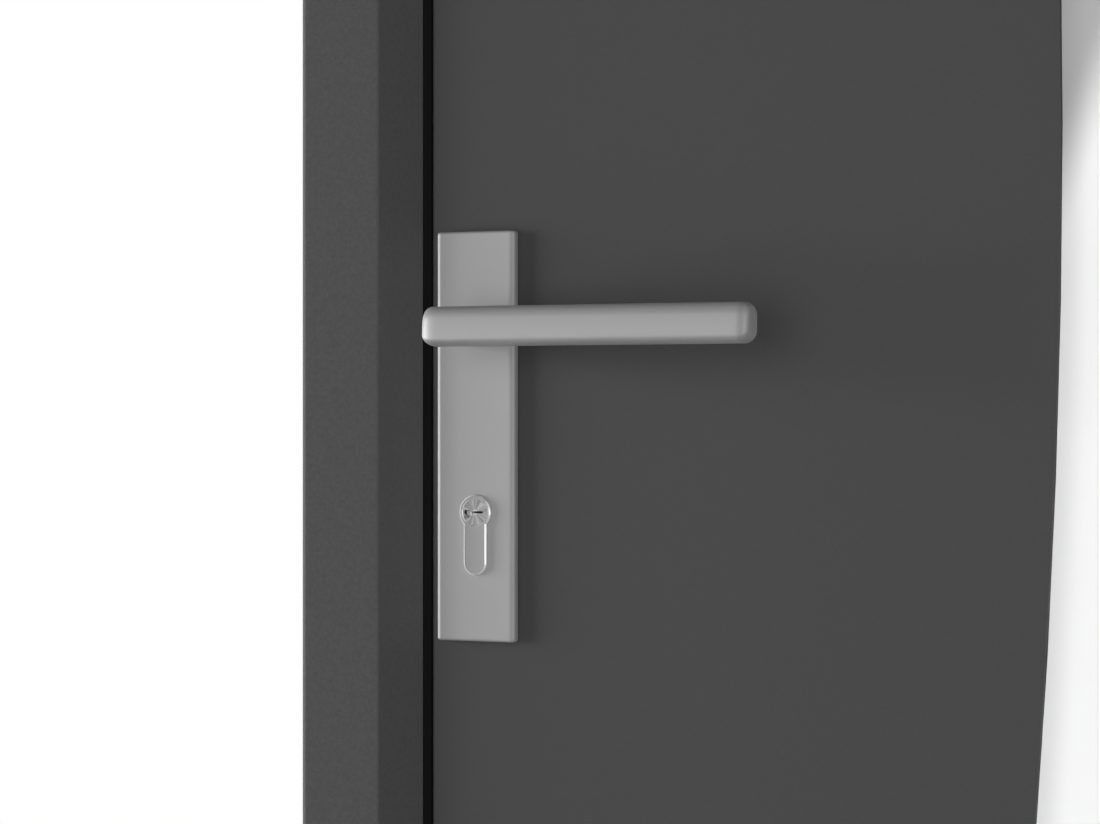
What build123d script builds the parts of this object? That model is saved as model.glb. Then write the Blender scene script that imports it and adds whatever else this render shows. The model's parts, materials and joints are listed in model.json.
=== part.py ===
"""Aluminium front door: an insulated flush leaf with a crescent light and a lever handle,
hung on three hinges in a thermally broken aluminium frame.

X runs to the right as seen from outside, Y runs inward and Z runs up.
The origin is the middle of the frame's footprint on the floor. Sizes are in millimetres.
"""
import os
from math import sqrt

from build123d import *

os.makedirs("parts", exist_ok=True)

# Frame
frame_width = 962.0
frame_height = 2191.0
face_width = 36.0  # face of the frame seen from outside
reveal_depth = 37.0  # outer face of the frame to the back of its stop
wall = 2.0  # wall of every hollow aluminium section
outer_round = 3.0  # rounding of the frame's edge against the wall
reveal_round = 0.8
leaf_lap = 10.0  # how far the leaf runs behind the stop
edge_gap = 9.0  # leaf edge to rebate, wide enough for the leaf to swing out
threshold_height = 20.0
threshold_fall = 8.0  # fall of the threshold's nose to the outside
threshold_nose = 34.0  # depth of the sloping nose

# Seals
seal_gap = 6.0  # stop to leaf, bridged by the seal
seal_air = 0.4  # seal to leaf
seal_lip = 2.5  # how far the seal shows past the stop
seal_seat = 7.0  # width of the seal's seat on the stop
seal_round = 1.5
bottom_gap = 6.0  # threshold to leaf
bottom_seal_width = 12.0
bottom_seal_air = 0.6

# Leaf
leaf_thickness = 70.0
skin = 2.0
stile_width = 50.0
outer_tube_depth = 20.0
break_width = 20.0  # plastic thermal break between the two aluminium halves
strip = 3.0  # thickness of the thermal break strips
strip_inset = 1.0

# Crescent light
light_offset = 241.9  # handle axis to the light's near edge
light_radius = 3400.0  # arc of the near edge
light_height = 1660.0  # tip to tip before the tips are rounded
light_width = 200.0
light_tip = 10.0
light_tip_least = 1.5
pane = 6.0
pane_recess = 0.4
pane_joint = 0.6
inner_pane_thickness = 4.0
glass_space = 16.0
seat_width = 12.0  # ledge that carries the outer pane
seat_thickness = 3.0
lining = 3.0
spacer_width = 8.0
spacer_joint = 2.0
bead_wall = 2.5
bead_flange = 24.0
bead_lip = 9.0  # trim of the bead on the inner face
bead_lip_thickness = 2.0

# Handle, on both faces
handle_inset = 23.4  # reveal to handle axis
handle_height = 1015.0
plate_width = 35.4
plate_shift = 0.8  # plate's middle to handle axis, towards the lock edge
plate_above = 38.9  # handle axis to the plate's top
plate_below = 127.0
plate_thickness = 4.0
plate_round = 2.4  # long front edges
plate_end_round = 1.2
lever_standoff = 38.0  # leaf face to lever front
lever_thickness = 11.5
lever_bar_height = 15.4
lever_tail = 8.9  # lever end behind the axis
lever_reach = 131.1  # axis to the lever's free end
lever_round = 5.5  # long front edges
lever_tail_round = 3.6
lever_tip_round = 5.0
lever_back_edge = 1.2
neck_radius = 7.5
neck_seat = 2.5  # length of the neck inside the plate
neck_root = 1.0  # length of the neck inside the bar
spindle = 8.0
spindle_socket = 20.0
running_gap = 0.06
hole_radius = 10.0  # clearance holes for the spindle in the skins
pocket_width = 28.0  # pocket for the lock case in the lock stile
pocket_margin = 6.0

# Profile cylinder
cylinder_drop = 74.7  # handle axis to cylinder axis
cylinder_radius = 7.0
cylinder_stem = 10.2
cylinder_below = 25.5
cylinder_proud = 1.5
cylinder_edge = 0.6
bore_edge = 0.4
plate_cut_gap = 0.05
leaf_cut_gap = 1.0
plug_radius = 5.3
plug_length = 30.0
plug_recess = 0.3
keyway_depth = 9.0
keyway_length = 8.2
keyway_height = 0.8
keyway_shift = 0.5  # plug axis to the keyway's middle
key_step_length = 2.6
key_step_height = 1.7
key_step_shift = 3.2
key_pocket_radius = 1.3
key_pocket_shift = 2.5
key_pocket_drop = 0.9

# Lock
faceplate_width = 18.0
faceplate_thickness = 3.0
faceplate_end = 250.0  # leaf end to faceplate end
latch_width = 12.0
latch_height = 32.0
latch_depth = 22.0
hook_width = 8.0
hook_height = 44.0
hook_reach = 640.0  # handle axis to the upper and lower hooks
middle_hook_drop = 140.0
bolt_gap = 0.3
strike_width = 19.0
strike_margin = 22.0
strike_gap = 2.0  # bolt to the sides of its strike pocket

# Hinges
hinge_radius = 10.0
hinge_pin = 5.0
hinge_standoff = 16.0  # inner face to hinge axis
hinge_height = 100.0
hinge_leaf_knuckle = 40.0
hinge_washer = 0.5
hinge_plate = 4.0
hinge_plate_width = 50.0
hinge_frame_margin = 0.5
hinge_setback = 12.0  # hinge axis to the leaf plate's edge
hinge_end = 220.0  # leaf end to the outer hinges' middle

# Wall fixings
fixing_hole = 8.0
fixing_low = 200.0
fixing_spacing = 420.0
fixing_high = 1320.0

# Levels that follow from these
half = frame_width / 2
reveal_x = half - face_width
rebate = face_width - leaf_lap - edge_gap
rebate_x = half - rebate
frame_depth = reveal_depth + seal_gap + leaf_thickness
y_out = -frame_depth / 2
y_stop = y_out + reveal_depth
y_leaf = y_stop + seal_gap
y_in = y_leaf + leaf_thickness
y_break = y_leaf + skin + outer_tube_depth
y_break_end = y_break + break_width
leaf_half = reveal_x + leaf_lap
leaf_top = frame_height - face_width + leaf_lap
leaf_bottom = threshold_height + bottom_gap
handle_x = -reveal_x + handle_inset
cylinder_z = handle_height - cylinder_drop
pocket_top = handle_height + hole_radius + pocket_margin
pocket_bottom = cylinder_z - cylinder_below - pocket_margin
light_x = handle_x + light_offset
light_z = (threshold_height + frame_height - face_width) / 2
y_lock = (y_break_end + y_in - skin) / 2
y_fix = (y_break_end + y_in) / 2
hinge_x = (leaf_half + rebate_x) / 2
hinge_y = y_in + hinge_standoff
hinge_levels = (leaf_bottom + hinge_end, (leaf_bottom + leaf_top) / 2, leaf_top - hinge_end)
hook_levels = (handle_height - hook_reach, handle_height - middle_hook_drop, handle_height + hook_reach)

# Planes: each frame section is drawn from its outer side (x) and through the wall (y)
lock_jamb_plane = Plane(origin=(-half, 0, 0), x_dir=(1, 0, 0), z_dir=(0, 0, 1))
hinge_jamb_plane = Plane(origin=(half, 0, 0), x_dir=(-1, 0, 0), z_dir=(0, 0, -1))
head_plane = Plane(origin=(0, 0, frame_height), x_dir=(0, 0, -1), z_dir=(1, 0, 0))
lock_mitre = Plane(origin=(-half, 0, frame_height), z_dir=(1, 0, 1))
hinge_mitre = Plane(origin=(half, 0, frame_height), z_dir=(-1, 0, 1))
lock_stile_plane = Plane(origin=(-leaf_half, 0, 0), x_dir=(1, 0, 0), z_dir=(0, 0, 1))
hinge_stile_plane = Plane(origin=(leaf_half, 0, 0), x_dir=(-1, 0, 0), z_dir=(0, 0, -1))
top_rail_plane = Plane(origin=(0, 0, leaf_top), x_dir=(0, 0, -1), z_dir=(1, 0, 0))
bottom_rail_plane = Plane(origin=(0, 0, leaf_bottom), x_dir=(0, 0, 1), z_dir=(-1, 0, 0))
lock_edge_plane = Plane(origin=(-leaf_half, 0, 0), x_dir=(0, 1, 0), z_dir=(1, 0, 0))
rebate_plane = Plane(origin=(-rebate_x, 0, 0), x_dir=(0, 1, 0), z_dir=(1, 0, 0))


def upright(y):
    """The plane at depth y, drawn as it is seen from outside; its normal points outward."""
    return Plane(origin=(0, y, 0), x_dir=(1, 0, 0), z_dir=(0, -1, 0))


def level(z):
    """The horizontal plane at height z."""
    return Plane(origin=(0, 0, z), x_dir=(1, 0, 0), z_dir=(0, 0, 1))


def chamber(*corners):
    """One hollow aluminium section: its outline less its inside."""
    outline = Polygon(*corners, mode=Mode.PRIVATE)
    add(outline)
    offset(outline, amount=-wall, kind=Kind.INTERSECTION, mode=Mode.SUBTRACT)


def frame_section():
    """Outer half with the stop, and inner half, of a jamb or the head."""
    chamber(
        (0, y_out), (face_width, y_out), (face_width, y_stop),
        (rebate, y_stop), (rebate, y_break), (0, y_break),
    )
    chamber((0, y_break_end), (rebate, y_break_end), (rebate, y_in), (0, y_in))
    fillet(vertices().group_by(Axis.Y)[0].sort_by(Axis.X)[0], radius=outer_round)
    fillet(vertices().group_by(Axis.Y)[0].sort_by(Axis.X)[-1], radius=reveal_round)


def seal_section():
    """Soft seal on the back of the stop, with a lip that shows past it."""
    inside = face_width - seal_seat
    outside = face_width + seal_lip
    Polygon(
        (inside, y_stop), (face_width, y_stop), (outside, y_stop + seal_lip),
        (outside, y_leaf - seal_air), (inside, y_leaf - seal_air),
    )
    fillet(vertices().group_by(Axis.Y)[-1], radius=seal_round)


def leaf_section():
    """Outer and inner tube of a stile or rail."""
    chamber((0, y_leaf + skin), (stile_width, y_leaf + skin), (stile_width, y_break), (0, y_break))
    chamber(
        (0, y_break_end), (stile_width, y_break_end),
        (stile_width, y_in - skin), (0, y_in - skin),
    )


def leaf_mitre(side, top):
    """Mitre plane at a leaf corner; its top side is away from the leaf's stile."""
    z = leaf_top if top else leaf_bottom
    rise = 1 if top else -1
    return Plane(origin=(side * leaf_half, 0, z), z_dir=(-side, 0, rise))


def crescent(inset):
    """The crescent of the light, drawn smaller all round by inset."""
    rise = light_height / 2
    sag = light_radius - sqrt(light_radius**2 - rise**2) + light_width
    far_radius = (rise**2 + sag**2) / (2 * sag)
    near_centre = light_x - light_radius
    far_centre = light_x + light_width - far_radius
    near = light_radius + inset
    far = far_radius - inset
    apart = far_centre - near_centre
    along = (near**2 - far**2 + apart**2) / (2 * apart)
    tip_x = near_centre + along
    tip_z = sqrt(near**2 - along**2)
    low = (tip_x, light_z - tip_z)
    high = (tip_x, light_z + tip_z)
    with BuildLine() as edge:
        ThreePointArc(low, (light_x + inset, light_z), high)
        ThreePointArc(high, (light_x + light_width - inset, light_z), low)
    make_face(edge.edges())
    fillet(vertices(), radius=max(light_tip - inset, light_tip_least))


def cylinder_outline(gap):
    """Profile cylinder seen from the front, larger all round by gap."""
    foot = cylinder_below - cylinder_stem / 2
    with Locations((handle_x, cylinder_z)):
        Circle(cylinder_radius + gap)
    with Locations((handle_x, cylinder_z - foot / 2)):
        Rectangle(cylinder_stem + 2 * gap, foot)
    with Locations((handle_x, cylinder_z - foot)):
        Circle(cylinder_stem / 2 + gap)


# Lights cut from the skins and rings, drawn once for each size
with BuildSketch() as light_opening:
    crescent(0)
with BuildSketch() as light_pane:
    crescent(pane_joint)
with BuildSketch() as light_outside:
    crescent(-lining)
with BuildSketch() as light_seat:
    crescent(seat_width)
with BuildSketch() as light_inner_pane:
    crescent(seat_width + pane_joint)
with BuildSketch() as light_spacer:
    crescent(seat_width + spacer_joint)
with BuildSketch() as light_spacer_inside:
    crescent(seat_width + spacer_joint + spacer_width)
with BuildSketch() as bead_inside:
    crescent(bead_wall)
with BuildSketch() as bead_sight:
    crescent(bead_flange)
with BuildSketch() as bead_outside:
    crescent(-bead_lip)
with BuildSketch() as handle_holes:
    cylinder_outline(leaf_cut_gap)
    with Locations((handle_x, handle_height)):
        Circle(hole_radius)

# Frame members
with BuildPart() as lock_jamb:
    with BuildSketch(lock_jamb_plane):
        frame_section()
    extrude(amount=frame_height)
    split(bisect_by=lock_mitre, keep=Keep.BOTTOM)
    with BuildSketch(rebate_plane):
        with Locations(*[(y_lock, z) for z in hook_levels]):
            Rectangle(strike_width, hook_height + 2 * strike_margin)
        with Locations((y_lock, handle_height)):
            Rectangle(strike_width, latch_height + 2 * strike_margin)
    extrude(amount=-wall, mode=Mode.SUBTRACT)
    with BuildSketch(rebate_plane):
        with Locations(
            (y_fix, fixing_low), (y_fix, fixing_low + fixing_spacing),
            (y_fix, fixing_high), (y_fix, fixing_high + fixing_spacing),
        ):
            Circle(fixing_hole / 2)
    extrude(amount=-rebate, mode=Mode.SUBTRACT)
lock_jamb.part.label = "lock_jamb"
export_step(lock_jamb.part, "parts/lock_jamb.step")

with BuildPart() as hinge_jamb:
    with BuildSketch(hinge_jamb_plane):
        frame_section()
    extrude(amount=-frame_height)
    split(bisect_by=hinge_mitre, keep=Keep.BOTTOM)
    with BuildSketch(Plane(origin=(rebate_x, 0, 0), x_dir=(0, 1, 0), z_dir=(1, 0, 0))):
        with Locations(
            (y_fix, fixing_low), (y_fix, fixing_low + fixing_spacing),
            (y_fix, fixing_high), (y_fix, fixing_high + fixing_spacing),
        ):
            Circle(fixing_hole / 2)
    extrude(amount=rebate, mode=Mode.SUBTRACT)
hinge_jamb.part.label = "hinge_jamb"
export_step(hinge_jamb.part, "parts/hinge_jamb.step")

with BuildPart() as head:
    with BuildSketch(head_plane):
        frame_section()
    extrude(amount=half, both=True)
    split(bisect_by=lock_mitre, keep=Keep.TOP)
    split(bisect_by=hinge_mitre, keep=Keep.TOP)
head.part.label = "head"
export_step(head.part, "parts/head.step")

# Thermal break strips of the frame, two runs up one jamb, over the head and down the other
with BuildPart() as frame_breaks:
    with BuildSketch(upright(y_break)):
        for near in (strip_inset, rebate - strip_inset - strip):
            far = near + strip
            Polygon(
                (-half + near, 0), (-half + near, frame_height - near),
                (half - near, frame_height - near), (half - near, 0),
                (half - far, 0), (half - far, frame_height - far),
                (-half + far, frame_height - far), (-half + far, 0),
            )
    extrude(amount=-break_width)
frame_breaks.part.label = "frame_breaks"
export_step(frame_breaks.part, "parts/frame_breaks.step")

# Threshold between the jambs, notched round their stops
with BuildPart() as threshold:
    with BuildSketch(Plane(origin=(0, 0, 0), x_dir=(0, 1, 0), z_dir=(1, 0, 0))):
        chamber(
            (y_out, 0), (y_break, 0), (y_break, threshold_height),
            (y_out + threshold_nose, threshold_height), (y_out, threshold_height - threshold_fall),
        )
        chamber(
            (y_break_end, 0), (y_in, 0), (y_in, threshold_height), (y_break_end, threshold_height),
        )
    extrude(amount=rebate_x, both=True)
    with BuildSketch(level(0)):
        with Locations((0, (y_out + y_stop) / 2)):
            Rectangle(2 * rebate_x, reveal_depth)
            Rectangle(2 * reveal_x, reveal_depth, mode=Mode.SUBTRACT)
    extrude(amount=threshold_height, mode=Mode.SUBTRACT)
threshold.part.label = "threshold"
export_step(threshold.part, "parts/threshold.step")

with BuildPart() as threshold_break:
    with BuildSketch(upright(y_break)):
        for z in (strip_inset, threshold_height - strip_inset - strip):
            with Locations((0, z + strip / 2)):
                Rectangle(2 * rebate_x, strip)
    extrude(amount=-break_width)
threshold_break.part.label = "threshold_break"
export_step(threshold_break.part, "parts/threshold_break.step")

# Seals on the stops, mitred like the frame
with BuildPart() as lock_seal:
    with BuildSketch(lock_jamb_plane):
        seal_section()
    extrude(amount=frame_height)
    split(bisect_by=lock_mitre, keep=Keep.BOTTOM)
    split(bisect_by=level(threshold_height), keep=Keep.TOP)
lock_seal.part.label = "lock_seal"
export_step(lock_seal.part, "parts/lock_seal.step")

with BuildPart() as hinge_seal:
    with BuildSketch(hinge_jamb_plane):
        seal_section()
    extrude(amount=-frame_height)
    split(bisect_by=hinge_mitre, keep=Keep.BOTTOM)
    split(bisect_by=level(threshold_height), keep=Keep.TOP)
hinge_seal.part.label = "hinge_seal"
export_step(hinge_seal.part, "parts/hinge_seal.step")

with BuildPart() as head_seal:
    with BuildSketch(head_plane):
        seal_section()
    extrude(amount=half, both=True)
    split(bisect_by=lock_mitre, keep=Keep.TOP)
    split(bisect_by=hinge_mitre, keep=Keep.TOP)
head_seal.part.label = "head_seal"
export_step(head_seal.part, "parts/head_seal.step")


def strike(name, z, width, height):
    """Strike plate let into the rebate, with a pocket for its bolt."""
    with BuildPart() as plate:
        with BuildSketch(rebate_plane):
            with Locations((y_lock, z)):
                Rectangle(strike_width, height + 2 * strike_margin)
                Rectangle(width + 2 * strike_gap, height + 2 * strike_gap, mode=Mode.SUBTRACT)
        extrude(amount=-wall)
    plate.part.label = name
    export_step(plate.part, f"parts/{name}.step")


strike("latch_strike", handle_height, latch_width, latch_height)
strike("lower_strike", hook_levels[0], hook_width, hook_height)
strike("middle_strike", hook_levels[1], hook_width, hook_height)
strike("upper_strike", hook_levels[2], hook_width, hook_height)

# Leaf skins
with BuildPart() as outer_skin:
    with BuildSketch(upright(y_leaf)):
        with Locations((0, (leaf_bottom + leaf_top) / 2)):
            Rectangle(2 * leaf_half, leaf_top - leaf_bottom)
        add(light_opening.sketch, mode=Mode.SUBTRACT)
        add(handle_holes.sketch, mode=Mode.SUBTRACT)
    extrude(amount=-skin)
outer_skin.part.label = "outer_skin"
export_step(outer_skin.part, "parts/outer_skin.step")

with BuildPart() as inner_skin:
    with BuildSketch(upright(y_in)):
        with Locations((0, (leaf_bottom + leaf_top) / 2)):
            Rectangle(2 * leaf_half, leaf_top - leaf_bottom)
        add(light_opening.sketch, mode=Mode.SUBTRACT)
        add(handle_holes.sketch, mode=Mode.SUBTRACT)
    extrude(amount=skin)
inner_skin.part.label = "inner_skin"
export_step(inner_skin.part, "parts/inner_skin.step")

# Stiles and rails, two tubes each, mitred at the corners
with BuildPart() as lock_stile:
    with BuildSketch(lock_stile_plane):
        leaf_section()
    extrude(amount=frame_height)
    split(bisect_by=leaf_mitre(-1, True), keep=Keep.BOTTOM)
    split(bisect_by=leaf_mitre(-1, False), keep=Keep.BOTTOM)
    with BuildSketch(upright(y_leaf)):
        with Locations((handle_x, (pocket_top + pocket_bottom) / 2)):
            Rectangle(pocket_width, pocket_top - pocket_bottom)
    extrude(amount=-leaf_thickness, mode=Mode.SUBTRACT)
    with BuildSketch(lock_edge_plane):
        with Locations((y_lock, (leaf_bottom + leaf_top) / 2)):
            Rectangle(faceplate_width, leaf_top - leaf_bottom - 2 * faceplate_end)
    extrude(amount=faceplate_thickness, mode=Mode.SUBTRACT)
lock_stile.part.label = "lock_stile"
export_step(lock_stile.part, "parts/lock_stile.step")

with BuildPart() as hinge_stile:
    with BuildSketch(hinge_stile_plane):
        leaf_section()
    extrude(amount=-frame_height)
    split(bisect_by=leaf_mitre(1, True), keep=Keep.BOTTOM)
    split(bisect_by=leaf_mitre(1, False), keep=Keep.BOTTOM)
hinge_stile.part.label = "hinge_stile"
export_step(hinge_stile.part, "parts/hinge_stile.step")

with BuildPart() as top_rail:
    with BuildSketch(top_rail_plane):
        leaf_section()
    extrude(amount=leaf_half, both=True)
    split(bisect_by=leaf_mitre(-1, True), keep=Keep.TOP)
    split(bisect_by=leaf_mitre(1, True), keep=Keep.TOP)
top_rail.part.label = "top_rail"
export_step(top_rail.part, "parts/top_rail.step")

with BuildPart() as bottom_rail:
    with BuildSketch(bottom_rail_plane):
        leaf_section()
    extrude(amount=leaf_half, both=True)
    split(bisect_by=leaf_mitre(-1, False), keep=Keep.TOP)
    split(bisect_by=leaf_mitre(1, False), keep=Keep.TOP)
bottom_rail.part.label = "bottom_rail"
export_step(bottom_rail.part, "parts/bottom_rail.step")

# Thermal break strips of the leaf, two rings between the outer and inner tubes
with BuildPart() as leaf_breaks:
    with BuildSketch(upright(y_break)):
        with Locations((0, (leaf_bottom + leaf_top) / 2)):
            for near in (strip_inset, stile_width - strip_inset - strip):
                far = near + strip
                with BuildSketch(mode=Mode.PRIVATE) as ring:
                    Rectangle(2 * (leaf_half - near), leaf_top - leaf_bottom - 2 * near)
                    Rectangle(
                        2 * (leaf_half - far), leaf_top - leaf_bottom - 2 * far, mode=Mode.SUBTRACT
                    )
                add(ring.sketch)
    extrude(amount=-break_width)
leaf_breaks.part.label = "leaf_breaks"
export_step(leaf_breaks.part, "parts/leaf_breaks.step")

with BuildPart() as bottom_seal:
    with BuildSketch(level(threshold_height + bottom_seal_air)):
        with Locations((0, y_break_end + bottom_seal_width / 2)):
            Rectangle(2 * leaf_half, bottom_seal_width)
    extrude(amount=bottom_gap - bottom_seal_air)
bottom_seal.part.label = "bottom_seal"
export_step(bottom_seal.part, "parts/bottom_seal.step")

# Crescent light: lining with a ledge, outer pane, spacer, inner pane and inner bead
y_pane = y_leaf + pane_recess
y_seat = y_pane + pane
y_inner_pane = y_seat + glass_space
y_bead = y_inner_pane + inner_pane_thickness
with BuildPart() as light_lining:
    with BuildSketch(upright(y_leaf + skin)):
        add(light_outside.sketch)
        add(light_opening.sketch, mode=Mode.SUBTRACT)
    extrude(amount=-(leaf_thickness - 2 * skin))
    with BuildSketch(upright(y_seat)):
        add(light_outside.sketch)
        add(light_seat.sketch, mode=Mode.SUBTRACT)
    extrude(amount=-seat_thickness)
light_lining.part.label = "light_lining"
export_step(light_lining.part, "parts/light_lining.step")

with BuildPart() as outer_pane:
    with BuildSketch(upright(y_pane)):
        add(light_pane.sketch)
    extrude(amount=-pane)
outer_pane.part.label = "outer_pane"
export_step(outer_pane.part, "parts/outer_pane.step")

with BuildPart() as pane_spacer:
    with BuildSketch(upright(y_seat)):
        add(light_spacer.sketch)
        add(light_spacer_inside.sketch, mode=Mode.SUBTRACT)
    extrude(amount=-glass_space)
pane_spacer.part.label = "pane_spacer"
export_step(pane_spacer.part, "parts/pane_spacer.step")

with BuildPart() as inner_pane:
    with BuildSketch(upright(y_inner_pane)):
        add(light_inner_pane.sketch)
    extrude(amount=-inner_pane_thickness)
inner_pane.part.label = "inner_pane"
export_step(inner_pane.part, "parts/inner_pane.step")

with BuildPart() as light_bead:
    with BuildSketch(upright(y_bead)):
        add(light_opening.sketch)
        add(bead_sight.sketch, mode=Mode.SUBTRACT)
    extrude(amount=-seat_thickness)
    with BuildSketch(upright(y_bead)):
        add(light_opening.sketch)
        add(bead_inside.sketch, mode=Mode.SUBTRACT)
    extrude(amount=-(y_in - y_bead))
    with BuildSketch(upright(y_in)):
        add(bead_outside.sketch)
        add(bead_inside.sketch, mode=Mode.SUBTRACT)
    extrude(amount=-bead_lip_thickness)
light_bead.part.label = "light_bead"
export_step(light_bead.part, "parts/light_bead.step")

# Lock: faceplate let into the lock stile, latch and hooks withdrawn flush with it
with BuildPart() as lock_faceplate:
    with BuildSketch(lock_edge_plane):
        with Locations((y_lock, (leaf_bottom + leaf_top) / 2)):
            Rectangle(faceplate_width, leaf_top - leaf_bottom - 2 * faceplate_end)
        with Locations((y_lock, handle_height)):
            Rectangle(latch_width + 2 * bolt_gap, latch_height + 2 * bolt_gap, mode=Mode.SUBTRACT)
        with Locations(*[(y_lock, z) for z in hook_levels]):
            Rectangle(hook_width + 2 * bolt_gap, hook_height + 2 * bolt_gap, mode=Mode.SUBTRACT)
    extrude(amount=faceplate_thickness)
lock_faceplate.part.label = "lock_faceplate"
export_step(lock_faceplate.part, "parts/lock_faceplate.step")

with BuildPart() as latch_bolt:
    with BuildSketch(lock_edge_plane):
        with Locations((y_lock, handle_height)):
            Rectangle(latch_width, latch_height)
    extrude(amount=latch_depth)
latch_bolt.part.label = "latch_bolt"
export_step(latch_bolt.part, "parts/latch_bolt.step")

with BuildPart() as hook_bolts:
    with BuildSketch(lock_edge_plane):
        with Locations(*[(y_lock, z) for z in hook_levels]):
            Rectangle(hook_width, hook_height)
    extrude(amount=latch_depth)
hook_bolts.part.label = "hook_bolts"
export_step(hook_bolts.part, "parts/hook_bolts.step")


def end_rim(face, y_back):
    """Edges of a bar's end face, less the one on the back of the bar."""
    return face.edges().filter_by(lambda edge: abs(edge.center().Y - y_back) > running_gap)


def handle_plate(name, y, out):
    """Handle plate on a leaf face; out is 1 on the outer face and -1 on the inner one."""
    with BuildPart() as plate:
        with BuildSketch(level(handle_height - plate_below)):
            with Locations((handle_x - plate_shift, y - out * plate_thickness / 2)):
                Rectangle(plate_width, plate_thickness)
            fillet(vertices().group_by(Axis.Y)[0 if out > 0 else -1], radius=plate_round)
        extrude(amount=plate_above + plate_below)
        fillet(end_rim(faces().sort_by(Axis.Z)[0], y), radius=plate_end_round)
        fillet(end_rim(faces().sort_by(Axis.Z)[-1], y), radius=plate_end_round)
        with BuildSketch(upright(y)):
            cylinder_outline(plate_cut_gap)
            with Locations((handle_x, handle_height)):
                Circle(neck_radius + running_gap)
        extrude(amount=out * plate_thickness, mode=Mode.SUBTRACT)
    plate.part.label = name
    export_step(plate.part, f"parts/{name}.step")


handle_plate("outer_plate", y_leaf, 1)
handle_plate("inner_plate", y_in, -1)


def lever(name, y, out):
    """Straight lever with a round neck and a square socket for the spindle."""
    bar_back = lever_standoff - lever_thickness
    y_bar_back = y - out * bar_back
    neck_end = plate_thickness - neck_seat
    tail = (handle_x - lever_tail, 0, handle_height)
    tail_plane = Plane(origin=tail, x_dir=(0, -out, 0), z_dir=(1, 0, 0))
    with BuildPart() as arm:
        with BuildSketch(tail_plane):
            with Locations((-out * y_bar_back + lever_thickness / 2, 0)):
                Rectangle(lever_thickness, lever_bar_height)
            fillet(vertices().group_by(Axis.X)[-1], radius=lever_round)
        extrude(amount=lever_reach + lever_tail)
        fillet(end_rim(faces().sort_by(Axis.X)[0], y_bar_back), radius=lever_tail_round)
        fillet(end_rim(faces().sort_by(Axis.X)[-1], y_bar_back), radius=lever_tip_round)
        back = faces().sort_by(Axis.Y)[-1 if out > 0 else 0]
        chamfer(back.edges(), length=lever_back_edge)
        with BuildSketch(upright(y - out * neck_end)):
            with Locations((handle_x, handle_height)):
                Circle(neck_radius)
        extrude(amount=out * (bar_back - neck_end + neck_root))
        with BuildSketch(upright(y - out * neck_end)):
            with Locations((handle_x, handle_height)):
                Rectangle(spindle, spindle)
        extrude(amount=out * spindle_socket, mode=Mode.SUBTRACT)
    arm.part.label = name
    export_step(arm.part, f"parts/{name}.step")


lever("outer_lever", y_leaf, 1)
lever("inner_lever", y_in, -1)

with BuildPart() as handle_spindle:
    spindle_end = plate_thickness - neck_seat + spindle_socket
    with BuildSketch(upright(y_leaf - spindle_end)):
        with Locations((handle_x, handle_height)):
            Rectangle(spindle, spindle)
    extrude(amount=-(leaf_thickness + 2 * spindle_end))
handle_spindle.part.label = "handle_spindle"
export_step(handle_spindle.part, "parts/handle_spindle.step")

# Profile cylinder through the leaf, with a plug at each end
y_cylinder = y_leaf - plate_thickness - cylinder_proud
y_cylinder_in = y_in + plate_thickness + cylinder_proud
with BuildPart() as cylinder_body:
    with BuildSketch(upright(y_cylinder)):
        cylinder_outline(0)
    extrude(amount=-(y_cylinder_in - y_cylinder))
    chamfer(faces().sort_by(Axis.Y)[0].edges(), length=cylinder_edge)
    chamfer(faces().sort_by(Axis.Y)[-1].edges(), length=cylinder_edge)
    with BuildSketch(upright(y_cylinder), upright(y_cylinder_in - plug_length)):
        with Locations((handle_x, cylinder_z)):
            Circle(plug_radius + running_gap)
    extrude(amount=-plug_length, mode=Mode.SUBTRACT)
    bore = plug_radius + running_gap
    circles = edges().filter_by(GeomType.CIRCLE)
    rims = circles.filter_by(lambda edge: abs(edge.radius - bore) < running_gap / 2)
    chamfer([rims.sort_by(Axis.Y)[0], rims.sort_by(Axis.Y)[-1]], length=bore_edge)
cylinder_body.part.label = "cylinder_body"
export_step(cylinder_body.part, "parts/cylinder_body.step")


def plug(name, y, out):
    """Turning plug with a level keyway: a narrow slot, a wide step and a round pocket."""
    with BuildPart() as core:
        with BuildSketch(upright(y)):
            with Locations((handle_x, cylinder_z)):
                Circle(plug_radius)
        extrude(amount=-out * (plug_length - plug_recess))
        with BuildSketch(upright(y)):
            with Locations((handle_x - out * keyway_shift, cylinder_z)):
                Rectangle(keyway_length, keyway_height)
            with Locations((handle_x - out * key_step_shift, cylinder_z)):
                Rectangle(key_step_length, key_step_height)
            with Locations((handle_x - out * key_pocket_shift, cylinder_z - key_pocket_drop)):
                Circle(key_pocket_radius)
        extrude(amount=-out * keyway_depth, mode=Mode.SUBTRACT)
    core.part.label = name
    export_step(core.part, f"parts/{name}.step")


plug("outer_plug", y_cylinder + plug_recess, 1)
plug("inner_plug", y_cylinder_in - plug_recess, -1)


def knuckle_arm(z, height, side, root, tip):
    """A solid knuckle round the hinge axis with an arm to its plate on one side."""
    with BuildSketch(level(z)) as plan:
        with Locations((hinge_x, hinge_y)):
            Circle(hinge_radius)
        Polygon(
            (root, y_in), (tip, y_in), (tip, y_in + hinge_plate),
            (hinge_x + side * hinge_radius, hinge_y), (hinge_x, hinge_y), (root, y_in + hinge_plate),
        )
    extrude(plan.sketch, amount=height)


def on_hinge_axis(z, radius):
    """A circle round the hinge axis at height z."""
    with BuildSketch(level(z)) as ring:
        with Locations((hinge_x, hinge_y)):
            Circle(radius)
    return ring.sketch


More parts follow.
